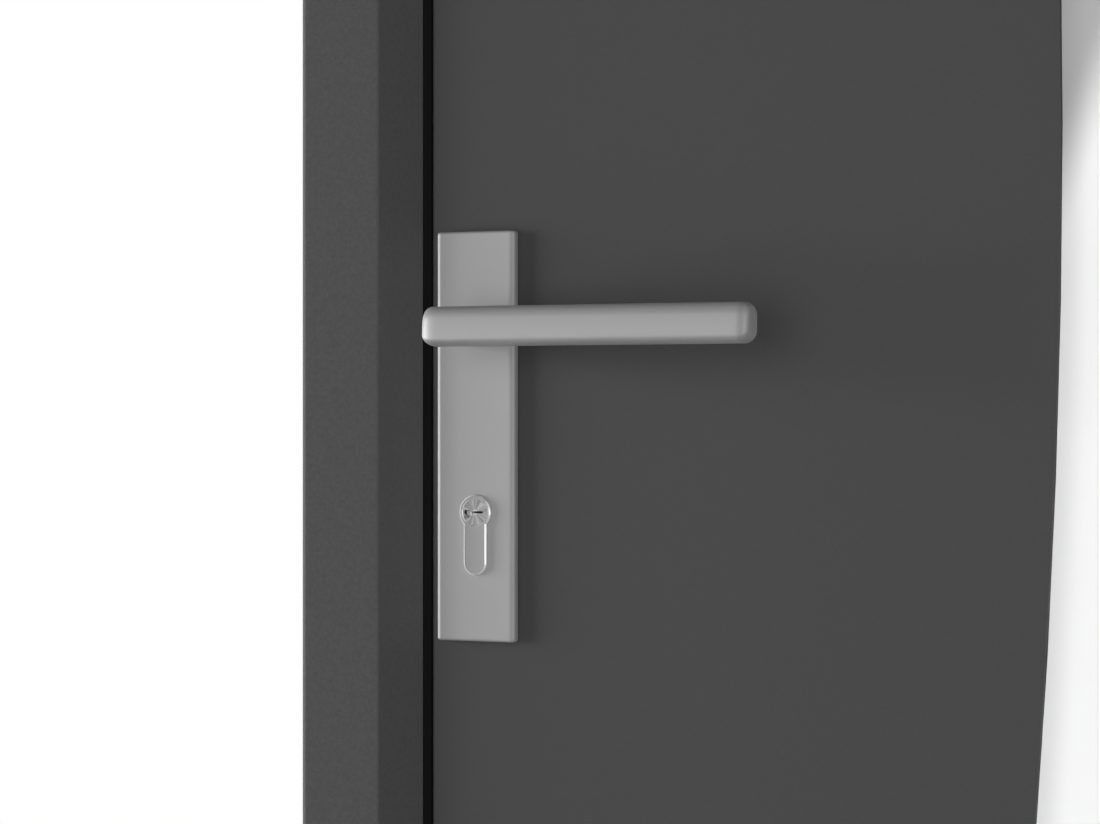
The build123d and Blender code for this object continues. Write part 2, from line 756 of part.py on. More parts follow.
frame_root = rebate_x + hinge_frame_margin
frame_tip = half - hinge_frame_margin
leaf_root = hinge_x - hinge_setback
leaf_tip = leaf_root - hinge_plate_width
for count, z in enumerate(hinge_levels, 1):
    bottom = z - hinge_height / 2
    gap_end = z - hinge_leaf_knuckle / 2 - hinge_washer
    with BuildPart() as frame_knuckle:
        with BuildSketch(level(bottom)):
            with Locations(((frame_root + frame_tip) / 2, y_in + hinge_plate / 2)):
                Rectangle(frame_tip - frame_root, hinge_plate)
        extrude(amount=hinge_height)
        knuckle_arm(bottom, gap_end - bottom, 1, frame_root, frame_tip)
        knuckle_arm(2 * z - gap_end, gap_end - bottom, 1, frame_root, frame_tip)
        extrude(on_hinge_axis(bottom, hinge_pin), amount=hinge_height)
    frame_knuckle.part.label = f"frame_knuckle_{count}"
    export_step(frame_knuckle.part, f"parts/frame_knuckle_{count}.step")

    with BuildPart() as leaf_knuckle:
        with BuildSketch(level(bottom)):
            with Locations(((leaf_root + leaf_tip) / 2, y_in + hinge_plate / 2)):
                Rectangle(hinge_plate_width, hinge_plate)
        extrude(amount=hinge_height)
        knuckle_arm(
            z - hinge_leaf_knuckle / 2, hinge_leaf_knuckle, -1, leaf_root, leaf_root - hinge_setback
        )
        extrude(on_hinge_axis(bottom, hinge_pin + running_gap), amount=hinge_height, mode=Mode.SUBTRACT)
    leaf_knuckle.part.label = f"leaf_knuckle_{count}"
    export_step(leaf_knuckle.part, f"parts/leaf_knuckle_{count}.step")
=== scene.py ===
"""Looks of an aluminium front door: powder-coated frame and leaf, satin handle, satin glass crescent."""
import json
from math import cos, pi, radians, sin, sqrt

import bmesh
import bpy
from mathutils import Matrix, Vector


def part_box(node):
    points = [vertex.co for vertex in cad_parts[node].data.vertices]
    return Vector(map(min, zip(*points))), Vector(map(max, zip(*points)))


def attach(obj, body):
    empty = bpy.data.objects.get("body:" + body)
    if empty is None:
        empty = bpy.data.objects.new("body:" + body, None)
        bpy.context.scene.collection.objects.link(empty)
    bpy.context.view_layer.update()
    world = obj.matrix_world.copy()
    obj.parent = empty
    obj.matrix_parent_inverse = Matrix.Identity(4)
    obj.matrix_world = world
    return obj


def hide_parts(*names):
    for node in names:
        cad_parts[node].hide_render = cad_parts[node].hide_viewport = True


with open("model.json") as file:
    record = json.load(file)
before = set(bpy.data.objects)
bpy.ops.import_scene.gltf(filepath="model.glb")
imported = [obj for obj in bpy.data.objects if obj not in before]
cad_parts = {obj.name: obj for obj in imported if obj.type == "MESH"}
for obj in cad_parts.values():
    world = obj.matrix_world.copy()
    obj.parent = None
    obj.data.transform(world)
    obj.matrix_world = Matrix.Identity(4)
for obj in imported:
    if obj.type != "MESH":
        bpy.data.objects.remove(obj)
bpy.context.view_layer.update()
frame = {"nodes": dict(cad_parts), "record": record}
nodes_of_door = frame["nodes"]

# Viewpoint of the photograph, measured from the handle's axis on the leaf's outer face (metres, degrees)
CAMERA_RIGHT = 0.5656
CAMERA_BACK = 1.0955
CAMERA_BELOW = 0.0342
CAMERA_YAW = 26.0
PHOTO_WIDTH_PX = 1100
FOCAL_PX = 3040
SENSOR_MM = 36.0

# Finishes, linear colour
FRAME_GREY = (0.042, 0.042, 0.042)
LEAF_GREY = (0.0465, 0.0465, 0.0477)
HANDLE_SILVER = (0.28, 0.28, 0.283)
ZINC_GREY = (0.46, 0.46, 0.47)
NICKEL_GREY = (0.205, 0.205, 0.204)
MILL_GREY = (0.50, 0.50, 0.50)
SEAL_BLACK = (0.0013, 0.0013, 0.0013)
BREAK_BLACK = (0.012, 0.012, 0.012)
GLASS_WHITE = (0.95, 0.95, 0.955)
FLOOR_PALE = (0.80, 0.80, 0.80)

# Painted shadow in the glass, a soft grey slanting streak that stands in for a cast shadow: a point on
# its lower edge, the way across it, and where it ends (metres)
SHADOW_STREAK_POINT = (-0.163, 0.0, 1.111)
SHADOW_STREAK_ACROSS = (0.937, 0.0, -0.349)
SHADOW_STREAK_NEAR = (-0.010, 0.010)
SHADOW_STREAK_FAR = (-0.05, -0.12)
SHADOW_STREAK_GREY = 0.43

# Arcs of the glass: centre and radius of the near edge and of the far edge, and the width and grey of the
# painted shade along them (metres)
NEAR_ARC = ((-3.5797, 0.0, 1.0875), 3.4)
FAR_ARC = ((-1.26844, 0.0, 1.0875), 1.28874)
EDGE_SHADE_WIDTH = 0.012
EDGE_SHADE_GREY = 0.76
GLASS_IOR = 1.45

# Screw head of radius 1: its sides, and its rings as radius, height and whether they have six corners
SCREW_TURNS = 24
SCREW_RINGS = (
    (0.9, -0.5, False), (1.0, 0.0, False), (0.92, 0.08, False), (0.46, 0.08, True), (0.42, -0.35, True),
)

# Countersunk screws: head radius by place, height of a head above its plate, and places on their plates
HINGE_SCREW = 0.0042
LOCK_SCREW = 0.0036
PLATE_SCREW = 0.0032
SCREW_PROUD = 0.0003
HINGE_PLATE = 0.004
LEAF_HINGE_COLUMNS = (0.011, 0.031)
LEAF_HINGE_ROW = 0.037
FRAME_HINGE_COLUMN = 0.0075
FRAME_HINGE_ROW = 0.010
STRIKE_SCREW_END = 0.010
PLATE_SCREW_END = 0.012
FACEPLATE_SCREWS = (0.296, 0.52, 0.76, 0.945, 1.085, 1.32, 1.56, 1.895)

# Lever: ends and edges from the handle's axis, depths from the leaf, roundings of its long edges
# (depth, height), of its ends (length, depth) and of its corners seen from the front, and the neck,
# all in metres. The crown is how far the front draws back at the top edge, from the height given.
LEVER_TAIL = 0.0080
LEVER_REACH = 0.1315
LEVER_TOP = 0.00755
LEVER_BOTTOM = 0.00825
LEVER_FRONT = 0.038
LEVER_BACK = 0.0265
LEVER_CROWN = 0.0018
CROWN_HEIGHT = -0.0042
TOP_ROUND = (0.0050, 0.0048)
BOTTOM_ROUND = (0.0096, 0.0032)
BACK_ROUND = (0.0012, 0.0012)
LEAST_ROUND = 0.0006
TAIL_ROUND = (0.0080, 0.0030)
TAIL_CORNER = 0.0032
TIP_ROUND = (0.0048, 0.0048)
TIP_CORNER = 0.0045
NECK_RADIUS = 0.0075
NECK_SEAT = 0.0015
NECK_ROOT = 0.001

# Steps round the lever's roundings, down its face, along its ends and round its neck, and the angle
# up to which its faces are shaded as one
TOP_STEPS = 16
BOTTOM_STEPS = 12
BACK_STEPS = 4
FACE_STEPS = 6
END_STEPS = 12
NECK_TURNS = 40
SMOOTH_ANGLE = radians(40.0)

# Turned plug face: how coarse its streaks are, the noise that is spread over them and their dark and
# light factors, which give turning marks with a painted sheen, then the factor of the painted highlight
# at its centre and where that starts and ends to fade (metres)
SPOKE_SIZE = 0.5
SPOKE_NOISE = (0.36, 0.64)
SPOKE_SHEEN = (0.62, 1.4)
CENTRE_HIGHLIGHT = 1.9
CENTRE_HIGHLIGHT_FADE = (0.0003, 0.0016)

# Plated metal: facing to the front where a face starts and ends to count as an edge, and how metallic
# a face and an edge are
EDGE_FACING = (0.97, 0.85)
EDGE_METAL = (0.9, 0.35)

# Pin and ward inside each keyway, measured from the plug's axis and face; the dome is given as share of
# the pin's radius and depth behind its end
PIN_SHIFT = 0.0025
PIN_DROP = 0.0009
PIN_RADIUS = 0.00127
PIN_RECESS = 0.0001
PIN_LENGTH = 0.003
PIN_TURNS = 20
PIN_DOME = ((0.35, 0.0), (0.75, 0.0001), (0.95, 0.0003), (1.0, 0.0006))
WARD_SHIFT = 0.003
WARD_SIZE = (0.0021, 0.003, 0.0014)
WARD_RECESS = 0.0005
WARD_EDGE = 0.0002

# Grip ribs along the threshold's sloping nose
RIB_RADIUS = 0.001
RIB_COUNT = 4
RIB_SIDES = 8
RIB_STEP = 0.007
RIB_END = 0.024
NOSE_DEPTH = 0.034
NOSE_FALL = 0.008

# Floor: half its size, and where it starts and ends to fade into white (metres)
FLOOR_SIZE = 3.0
FLOOR_FADE = (0.7, 2.4)

# Light of the room, the share of it left at the ceiling, and where the change starts and ends, as the
# upward part of a direction
ROOM_LIGHT = 0.06
ROOM_CEILING = 0.60
ROOM_RISE = (-0.1, 0.7)

# Lamps: place from the handle's axis, width and height (metres), power (watts)
FRONT_LAMP = ((-0.1, -2.5, 0.1), 2.0, 2.0, 27.0)
GRAZING_LAMP = ((-2.65, -0.71, 0.0), 1.0, 1.4, 112.0)
RIGHT_LAMP = ((2.7, -0.7, 0.0), 1.2, 1.8, 25.0)
REVEAL_LAMP = ((2.7, -0.7, 0.0), 1.2, 1.8, 44.0)
BACK_LAMP = ((1.2, 2.8, 0.9), 2.0, 2.0, 80.0)


# Node helpers

def add_node(tree, kind, **settings):
    """A new node in a tree, with its settings."""
    made = tree.nodes.new(kind)
    for name, value in settings.items():
        setattr(made, name, value)
    return made


def start_material(name):
    """A material with an empty tree, its Principled shader and its Object coordinates."""
    material = bpy.data.materials.new(name)
    material.use_nodes = True
    tree = material.node_tree
    tree.nodes.clear()
    output = add_node(tree, "ShaderNodeOutputMaterial")
    shader = add_node(tree, "ShaderNodeBsdfPrincipled")
    tree.links.new(shader.outputs["BSDF"], output.inputs["Surface"])
    place = add_node(tree, "ShaderNodeTexCoord")
    return material, tree, shader, place.outputs["Object"]


def noise(tree, place, size, detail=2.0, roughness=0.5):
    """Noise with features of about the given size in metres."""
    made = add_node(tree, "ShaderNodeTexNoise")
    made.inputs["Scale"].default_value = 1.0 / size
    made.inputs["Detail"].default_value = detail
    made.inputs["Roughness"].default_value = roughness
    tree.links.new(place, made.inputs["Vector"])
    return made.outputs["Fac"]


def ramp(tree, value, low, high):
    """The value from 0..1 spread between two numbers."""
    made = add_node(tree, "ShaderNodeMapRange")
    made.inputs["To Min"].default_value = low
    made.inputs["To Max"].default_value = high
    tree.links.new(value, made.inputs["Value"])
    return made.outputs["Result"]


def spread(tree, value, from_low, from_high, to_low, to_high):
    """A value moved from one range to another, softly at both ends."""
    made = add_node(tree, "ShaderNodeMapRange")
    made.inputs["From Min"].default_value = from_low
    made.inputs["From Max"].default_value = from_high
    made.inputs["To Min"].default_value = to_low
    made.inputs["To Max"].default_value = to_high
    made.interpolation_type = "SMOOTHSTEP"
    tree.links.new(value, made.inputs["Value"])
    return made.outputs["Result"]


def distance_along(tree, place, point, direction):
    """Distance from a point along a direction, in metres."""
    made = add_node(tree, "ShaderNodeVectorMath", operation="DOT_PRODUCT")
    moved = add_node(tree, "ShaderNodeMapping")
    moved.inputs["Location"].default_value = [-number for number in point]
    tree.links.new(place, moved.inputs["Vector"])
    tree.links.new(moved.outputs["Vector"], made.inputs[0])
    made.inputs[1].default_value = direction
    return made.outputs["Value"]


def distance_from(tree, place, centre):
    """Distance from a point as seen from the front, in metres."""
    moved = add_node(tree, "ShaderNodeMapping")
    moved.inputs["Location"].default_value = (-centre[0], 0.0, -centre[2])
    moved.inputs["Scale"].default_value = (1.0, 0.0, 1.0)
    tree.links.new(place, moved.inputs["Vector"])
    made = add_node(tree, "ShaderNodeVectorMath", operation="LENGTH")
    tree.links.new(moved.outputs["Vector"], made.inputs[0])
    return made.outputs["Value"]


def combine(tree, operation, first, second):
    """Two varying values joined by one operation."""
    made = add_node(tree, "ShaderNodeMath", operation=operation)
    tree.links.new(first, made.inputs[0])
    tree.links.new(second, made.inputs[1])
    return made.outputs["Value"]


def shade(tree, colour, factor):
    """A colour multiplied by a varying factor."""
    made = add_node(tree, "ShaderNodeVectorMath", operation="SCALE")
    made.inputs[0].default_value = colour
    tree.links.new(factor, made.inputs["Scale"])
    return made.outputs["Vector"]


def bump(tree, shader, height, depth):
    """Bump of the given depth in metres on a shader."""
    made = add_node(tree, "ShaderNodeBump")
    made.inputs["Strength"].default_value = 1.0
    made.inputs["Distance"].default_value = depth
    tree.links.new(height, made.inputs["Height"])
    tree.links.new(made.outputs["Normal"], shader.inputs["Normal"])


# Finishes

def powder_coat(name, colour, grain, speck, depth, gloss):
    """Matt powder coat: fine orange peel, light and dark specks of the grain's size, soft sheen."""
    material, tree, shader, place = start_material(name)
    fine = noise(tree, place, grain, 3.0, 0.65)
    broad = noise(tree, place, 0.35, 1.0)
    specks = ramp(tree, fine, 1.0 - speck, 1.0 + speck)
    tone = combine(tree, "MULTIPLY", specks, ramp(tree, broad, 0.985, 1.015))
    tree.links.new(shade(tree, colour, tone), shader.inputs["Base Color"])
    tree.links.new(ramp(tree, fine, gloss - 0.06, gloss + 0.06), shader.inputs["Roughness"])
    shader.inputs["Specular IOR Level"].default_value = 0.15
    bump(tree, shader, fine, depth)
    return material


def satin_metal(name, colour, gloss, metal, grain=0.0006, depth=0.000004):
    """Blasted and lacquered metal: even silver with a very fine grain."""
    material, tree, shader, place = start_material(name)
    fine = noise(tree, place, grain, 2.0, 0.6)
    tree.links.new(shade(tree, colour, ramp(tree, fine, 0.97, 1.03)), shader.inputs["Base Color"])
    tree.links.new(ramp(tree, fine, gloss - 0.03, gloss + 0.03), shader.inputs["Roughness"])
    shader.inputs["Metallic"].default_value = metal
    shader.inputs["Specular IOR Level"].default_value = 0.3
    bump(tree, shader, fine, depth)
    return material


def edged_metal(name, colour, gloss, painted_edge_highlight):
    """Plated metal: brushed front faces with polished edges round them, painted lighter there as a
    highlight.
    """
    material, tree, shader, place = start_material(name)
    facing = add_node(tree, "ShaderNodeSeparateXYZ")
    tree.links.new(place.node.outputs["Normal"], facing.inputs["Vector"])
    level = add_node(tree, "ShaderNodeMath", operation="ABSOLUTE")
    tree.links.new(facing.outputs["Y"], level.inputs[0])
    edge = spread(tree, level.outputs["Value"], *EDGE_FACING, 0.0, 1.0)
    fine = noise(tree, place, 0.0004, 2.0, 0.6)
    # Painted highlight: the base colour is lifted on edges turned away from the front
    tone = combine(tree, "MULTIPLY", ramp(tree, edge, 1.0, painted_edge_highlight), ramp(tree, fine, 0.97, 1.03))
    tree.links.new(shade(tree, colour, tone), shader.inputs["Base Color"])
    tree.links.new(ramp(tree, edge, gloss, gloss / 2), shader.inputs["Roughness"])
    tree.links.new(ramp(tree, edge, *EDGE_METAL), shader.inputs["Metallic"])
    bump(tree, shader, fine, 0.000004)
    return material


def drawn_metal(name, colour, gloss, stretch):
    """Rolled or drawn metal: faint lines along one direction."""
    material, tree, shader, place = start_material(name)
    turn = add_node(tree, "ShaderNodeMapping")
    turn.inputs["Scale"].default_value = stretch
    tree.links.new(place, turn.inputs["Vector"])
    lines = noise(tree, turn.outputs["Vector"], 0.0004, 3.0, 0.6)
    tree.links.new(shade(tree, colour, ramp(tree, lines, 0.9, 1.1)), shader.inputs["Base Color"])
    tree.links.new(ramp(tree, lines, gloss - 0.06, gloss + 0.06), shader.inputs["Roughness"])
    shader.inputs["Metallic"].default_value = 1.0
    bump(tree, shader, lines, 0.000006)
    return material


def turned_metal(name, colour, gloss, centre):
    """Plug face turned on a lathe: streaks that run out from the plug's axis, turning marks lightened and
    darkened as a painted sheen, with a painted highlight at the centre.
    """
    material, tree, shader, place = start_material(name)
    middle = add_node(tree, "ShaderNodeMapping")
    middle.inputs["Location"].default_value = (-centre[0], 0.0, -centre[2])
    tree.links.new(place, middle.inputs["Vector"])
    flat = add_node(tree, "ShaderNodeSeparateXYZ")
    tree.links.new(middle.outputs["Vector"], flat.inputs["Vector"])
    angle = add_node(tree, "ShaderNodeMath", operation="ARCTAN2")
    tree.links.new(flat.outputs["Z"], angle.inputs[0])
    tree.links.new(flat.outputs["X"], angle.inputs[1])
    spokes = add_node(tree, "ShaderNodeCombineXYZ")
    tree.links.new(angle.outputs["Value"], spokes.inputs["X"])
    streaks = noise(tree, spokes.outputs["Vector"], SPOKE_SIZE, 2.0, 0.6)
    # Turning marks with a painted sheen: streaks lighter and darker in the base colour
    spoke_marks_and_sheen = spread(tree, streaks, *SPOKE_NOISE, *SPOKE_SHEEN)
    # Painted highlight: a bright spot at the plug's centre
    from_centre = distance_from(tree, place, centre)
    centre_highlight = spread(tree, from_centre, *CENTRE_HIGHLIGHT_FADE, CENTRE_HIGHLIGHT, 1.0)
    marks_and_highlight = combine(tree, "MULTIPLY", spoke_marks_and_sheen, centre_highlight)
    tree.links.new(shade(tree, colour, marks_and_highlight), shader.inputs["Base Color"])
    tree.links.new(ramp(tree, streaks, gloss - 0.08, gloss + 0.08), shader.inputs["Roughness"])
    shader.inputs["Metallic"].default_value = 1.0
    bump(tree, shader, streaks, 0.00004)
    return material


def soft_black(name, colour, gloss, grain):
    """Extruded rubber or polyamide: near black, faintly grained, dull sheen."""
    material, tree, shader, place = start_material(name)
    fine = noise(tree, place, grain, 3.0, 0.6)
    tree.links.new(shade(tree, colour, ramp(tree, fine, 0.8, 1.2)), shader.inputs["Base Color"])
    tree.links.new(ramp(tree, fine, gloss - 0.05, gloss + 0.05), shader.inputs["Roughness"])
    shader.inputs["Specular IOR Level"].default_value = 0.03
    bump(tree, shader, fine, 0.00003)
    return material


def satin_glass(name, colour):
    """Etched white glass, greyed by painted shade along its edge and by a painted shadow along a soft
    slanting streak.
    """
    material, tree, shader, place = start_material(name)
    etch = noise(tree, place, 0.0005, 2.0, 0.6)
    # Painted shadow: a soft grey slanting streak across the glass
    across = distance_along(tree, place, SHADOW_STREAK_POINT, SHADOW_STREAK_ACROSS)
    shadow_near_side = spread(tree, across, *SHADOW_STREAK_NEAR, SHADOW_STREAK_GREY, 1.0)
    shadow_far_side = spread(tree, across, *SHADOW_STREAK_FAR, SHADOW_STREAK_GREY, 1.0)
    painted_shadow = combine(tree, "MAXIMUM", shadow_near_side, shadow_far_side)
    # Painted shade: the glass greyed along both arcs of its edge
    from_near = distance_from(tree, place, NEAR_ARC[0])
    from_far = distance_from(tree, place, FAR_ARC[0])
    near_edge_shade = spread(tree, from_near, NEAR_ARC[1], NEAR_ARC[1] + EDGE_SHADE_WIDTH, EDGE_SHADE_GREY, 1.0)
    far_edge_shade = spread(tree, from_far, FAR_ARC[1], FAR_ARC[1] - EDGE_SHADE_WIDTH, EDGE_SHADE_GREY, 1.0)
    edge_shade = combine(tree, "MINIMUM", near_edge_shade, far_edge_shade)
    # Painted shadow and painted shade together darken the glass colour
    painted_shade_and_shadow = combine(tree, "MULTIPLY", painted_shadow, edge_shade)
    tone = combine(tree, "MULTIPLY", painted_shade_and_shadow, ramp(tree, etch, 0.985, 1.015))
    tree.links.new(shade(tree, colour, tone), shader.inputs["Base Color"])
    tree.links.new(ramp(tree, etch, 0.40, 0.46), shader.inputs["Roughness"])
    shader.inputs["Transmission Weight"].default_value = 0.08
    shader.inputs["IOR"].default_value = GLASS_IOR
    return material


def clear_glass(name):
    """Plain float glass with a faint unevenness."""
    material, tree, shader, place = start_material(name)
    wave = noise(tree, place, 0.25, 1.0)
    tree.links.new(ramp(tree, wave, 0.0, 0.03), shader.inputs["Roughness"])
    shader.inputs["Base Color"].default_value = (0.93, 0.96, 0.95, 1.0)
    shader.inputs["Transmission Weight"].default_value = 1.0
    shader.inputs["IOR"].default_value = GLASS_IOR
    return material


def middle_of(node):
    """Middle of a CAD node's box."""
    low, high = (Vector(corner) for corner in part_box(node))
    return (low + high) / 2


frame_coat = powder_coat("frame_coat", FRAME_GREY, grain=0.0015, speck=0.35, depth=0.00008, gloss=0.62)
leaf_coat = powder_coat("leaf_coat", LEAF_GREY, grain=0.0012, speck=0.12, depth=0.00003, gloss=0.60)
hinge_coat = powder_coat("hinge_coat", FRAME_GREY, grain=0.0009, speck=0.08, depth=0.00003, gloss=0.45)
handle_aluminium = satin_metal("handle_aluminium", HANDLE_SILVER, gloss=0.46, metal=0.18)
mill_aluminium = drawn_metal("mill_aluminium", MILL_GREY, gloss=0.42, stretch=(0.02, 1.0, 1.0))
lock_steel = drawn_metal("lock_steel", ZINC_GREY, gloss=0.38, stretch=(1.0, 1.0, 0.02))
cylinder_nickel = edged_metal("cylinder_nickel", NICKEL_GREY, gloss=0.34, painted_edge_highlight=3.2)
plug_nickel = turned_metal("plug_nickel", NICKEL_GREY, gloss=0.34, centre=middle_of("outer_plug"))
seal_rubber = soft_black("seal_rubber", SEAL_BLACK, gloss=0.55, grain=0.0012)
break_plastic = soft_black("break_plastic", BREAK_BLACK, gloss=0.6, grain=0.0008)
etched_glass = satin_glass("satin_glass", GLASS_WHITE)
float_glass = clear_glass("clear_glass")

FINISH_OF_SLOT = {
    "frame_coat": frame_coat, "leaf_coat": leaf_coat, "hinge_coat": hinge_coat,
    "handle_aluminium": handle_aluminium, "mill_aluminium": mill_aluminium, "lock_steel": lock_steel,
    "cylinder_nickel": cylinder_nickel, "seal_rubber": seal_rubber, "break_plastic": break_plastic,
    "satin_glass": etched_glass,
}
FINISH_OF_NODE = {"outer_plug": plug_nickel, "inner_plug": plug_nickel, "inner_pane": float_glass}
for subpart in frame["record"]["subparts"]:
    part = nodes_of_door[subpart["node"]]
    finish = FINISH_OF_NODE.get(subpart["node"], FINISH_OF_SLOT[subpart["material_slot"]])
    part.data.materials.clear()
    part.data.materials.append(finish)


# Repeated details

def screw_head():
    """A countersunk head of radius 1 with a hexagon socket, looking along Z; its rim lies at height 0."""
    shape = bmesh.new()
    rings = []
    for radius, height, corners in SCREW_RINGS:
        ring = []
        for count in range(SCREW_TURNS):
            angle = 2.0 * pi * count / SCREW_TURNS
            side = angle % (pi / 3) - pi / 6
            reach = radius * cos(pi / 6) / cos(side) if corners else radius
            ring.append(shape.verts.new((reach * cos(angle), reach * sin(angle), height)))
        rings.append(ring)
    for low, high in zip(rings, rings[1:]):
        for count in range(SCREW_TURNS):
            after = (count + 1) % SCREW_TURNS
            shape.faces.new((low[count], low[after], high[after], high[count]))
    shape.faces.new(reversed(rings[0]))
    shape.faces.new(rings[-1])
    mesh = bpy.data.meshes.new("screw_head")
    shape.to_mesh(mesh)
    shape.free()
    return bpy.data.objects.new("screw_head", mesh)


def grip_rib(length):
    """A half-round rib along X, closed at its ends."""
    shape = bmesh.new()
    angles = [pi * count / RIB_SIDES for count in range(RIB_SIDES + 1)]
    near, far = (
        [shape.verts.new((x, RIB_RADIUS * cos(angle), RIB_RADIUS * sin(angle))) for angle in angles]
        for x in (-length / 2, length / 2)
    )
    for count in range(RIB_SIDES + 1):
        after = (count + 1) % (RIB_SIDES + 1)
        shape.faces.new((near[count], near[after], far[after], far[count]))
    shape.faces.new(near)
    shape.faces.new(far)
    bmesh.ops.recalc_face_normals(shape, faces=shape.faces)
    mesh = bpy.data.meshes.new("grip_rib")
    shape.to_mesh(mesh)
    shape.free()
    return bpy.data.objects.new("grip_rib", mesh)


def add_piece(name, shape, finish, body):
    """A finished piece from a bmesh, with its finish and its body."""
    mesh = bpy.data.meshes.new(name)
    bmesh.ops.recalc_face_normals(shape, faces=shape.faces)
    shape.to_mesh(mesh)
    shape.free()
    mesh.materials.append(finish)
    piece = bpy.data.objects.new(name, mesh)
    bpy.context.collection.objects.link(piece)
    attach(piece, body)
    return piece


def rounded_end(distance, length, depth):
    """How far a face is drawn in at a distance from an end with an elliptic rounding."""
    if distance >= length:
        return 0.0
    return depth * (1.0 - sqrt(1.0 - (1.0 - distance / length) ** 2))


def lever_section(front_in, side_in):
    """Points round the lever's section, as depth from the leaf and height over the axis."""
    front = LEVER_FRONT - front_in
    high = LEVER_TOP - side_in
    low = -LEVER_BOTTOM + side_in
    share_left = (high - low) / (LEVER_TOP + LEVER_BOTTOM)
    corners = (
        (front, high, TOP_ROUND, -1, -1, 90.0, TOP_STEPS),
        (front, low, BOTTOM_ROUND, -1, 1, 0.0, BOTTOM_STEPS),
        (LEVER_BACK, low, BACK_ROUND, 1, 1, -90.0, BACK_STEPS),
        (LEVER_BACK, high, BACK_ROUND, 1, -1, -180.0, BACK_STEPS),
    )
    points = []
    for depth, height, (deep, tall), inward, upward, start, steps in corners:
        if depth == front:
            deep = max(deep - front_in, LEAST_ROUND)
        tall *= share_left
        for count in range(steps + 1):
            angle = radians(start - 90.0 * count / steps)
            points.append((
                depth + inward * deep + deep * cos(angle), height + upward * tall + tall * sin(angle)
            ))
        if depth == front and height == high:
            lower = low + BOTTOM_ROUND[1] * share_left
            upper = points[-1][1]
            fall = (lower - upper) / FACE_STEPS
            points += [(front, upper + fall * count) for count in range(1, FACE_STEPS)]
    reach = front - LEVER_BACK
    rise = LEVER_TOP - CROWN_HEIGHT
    return [
        (depth - LEVER_CROWN * ((z - CROWN_HEIGHT) / rise) ** 2 * (depth - LEVER_BACK) / reach, z)
        for depth, z in points
    ]


def join_rings(shape, rings):
    """Faces between rings of as many points each, with both ends closed."""
    turns = len(rings[0])
    for near, far in zip(rings, rings[1:]):
        for count in range(turns):
            after = (count + 1) % turns
            shape.faces.new((near[count], near[after], far[after], far[count]))
    shape.faces.new(rings[0])
    shape.faces.new(rings[-1])


def lever_bar(name, node, face, out):
    """Straight lever with a softly rounded tail and tip, on its round neck."""
    shape = bmesh.new()
    stations = []
    for count in range(END_STEPS + 1):
        gap = TAIL_ROUND[0] * (1.0 - cos(pi / 2 * count / END_STEPS))
        stations.append((-LEVER_TAIL + gap, gap, TAIL_ROUND, TAIL_CORNER))
    for count in range(END_STEPS, -1, -1):
        gap = TIP_ROUND[0] * (1.0 - cos(pi / 2 * count / END_STEPS))
        stations.append((LEVER_REACH - gap, gap, TIP_ROUND, TIP_CORNER))
    rings = []
    for x, gap, rounding, corner in stations:
        section = lever_section(rounded_end(gap, *rounding), rounded_end(gap, corner, corner))
        rings.append([
            shape.verts.new((handle_axis.x + x, face - out * depth, handle_axis.z + z))
            for depth, z in section
        ])
    join_rings(shape, rings)
    rings = []
    for depth in (NECK_SEAT, LEVER_BACK + NECK_ROOT):
        ring = []
        for count in range(NECK_TURNS):
            angle = 2.0 * pi * count / NECK_TURNS
            ring.append(shape.verts.new((
                handle_axis.x + NECK_RADIUS * cos(angle), face - out * depth,
                handle_axis.z + NECK_RADIUS * sin(angle),
            )))
        rings.append(ring)
    join_rings(shape, rings)
    for edge in shape.edges:
        edge.smooth = len(edge.link_faces) == 2 and edge.calc_face_angle() < SMOOTH_ANGLE
    for side in shape.faces:
        side.smooth = True
    piece = add_piece(name, shape, handle_aluminium, "handle")
    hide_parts(node)
    return piece


def key_pin(name, plug, out, body):
    """Round pin with a domed end, seen in the pocket of a keyway."""
    low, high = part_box(plug)
    face = low[1] if out > 0 else high[1]
    x = (low[0] + high[0]) / 2 - out * PIN_SHIFT
    z = (low[2] + high[2]) / 2 - PIN_DROP
    shape = bmesh.new()
    rings = []
    for share, depth in (*PIN_DOME, (1.0, PIN_LENGTH)):
        y = face + out * (PIN_RECESS + depth)
        ring = []
        for count in range(PIN_TURNS):
            angle = 2.0 * pi * count / PIN_TURNS
            reach = PIN_RADIUS * share
            ring.append(shape.verts.new((x + reach * cos(angle), y, z + reach * sin(angle))))
        rings.append(ring)
    join_rings(shape, rings)
    add_piece(name, shape, cylinder_nickel, body)


def key_ward(name, plug, out, body):
    """Small bevelled bar that fills the wide step of a keyway."""
    low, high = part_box(plug)
    face = low[1] if out > 0 else high[1]
    middle = Vector((
        (low[0] + high[0]) / 2 - out * WARD_SHIFT,
        face + out * (WARD_RECESS + WARD_SIZE[1] / 2),
        (low[2] + high[2]) / 2,
    ))
    shape = bmesh.new()
    bmesh.ops.create_cube(shape, size=1.0)
    bmesh.ops.scale(shape, vec=WARD_SIZE, verts=shape.verts)
    bmesh.ops.bevel(shape, geom=shape.edges[:], offset=WARD_EDGE, segments=2, affect="EDGES", profile=0.5)
    bmesh.ops.translate(shape, vec=middle, verts=shape.verts)
    add_piece(name, shape, cylinder_nickel, body)


def add_socket(tree, name, kind, way="INPUT"):
    """A named input or output of a Geometry Nodes tree."""
    return tree.interface.new_socket(name, in_out=way, socket_type=kind)


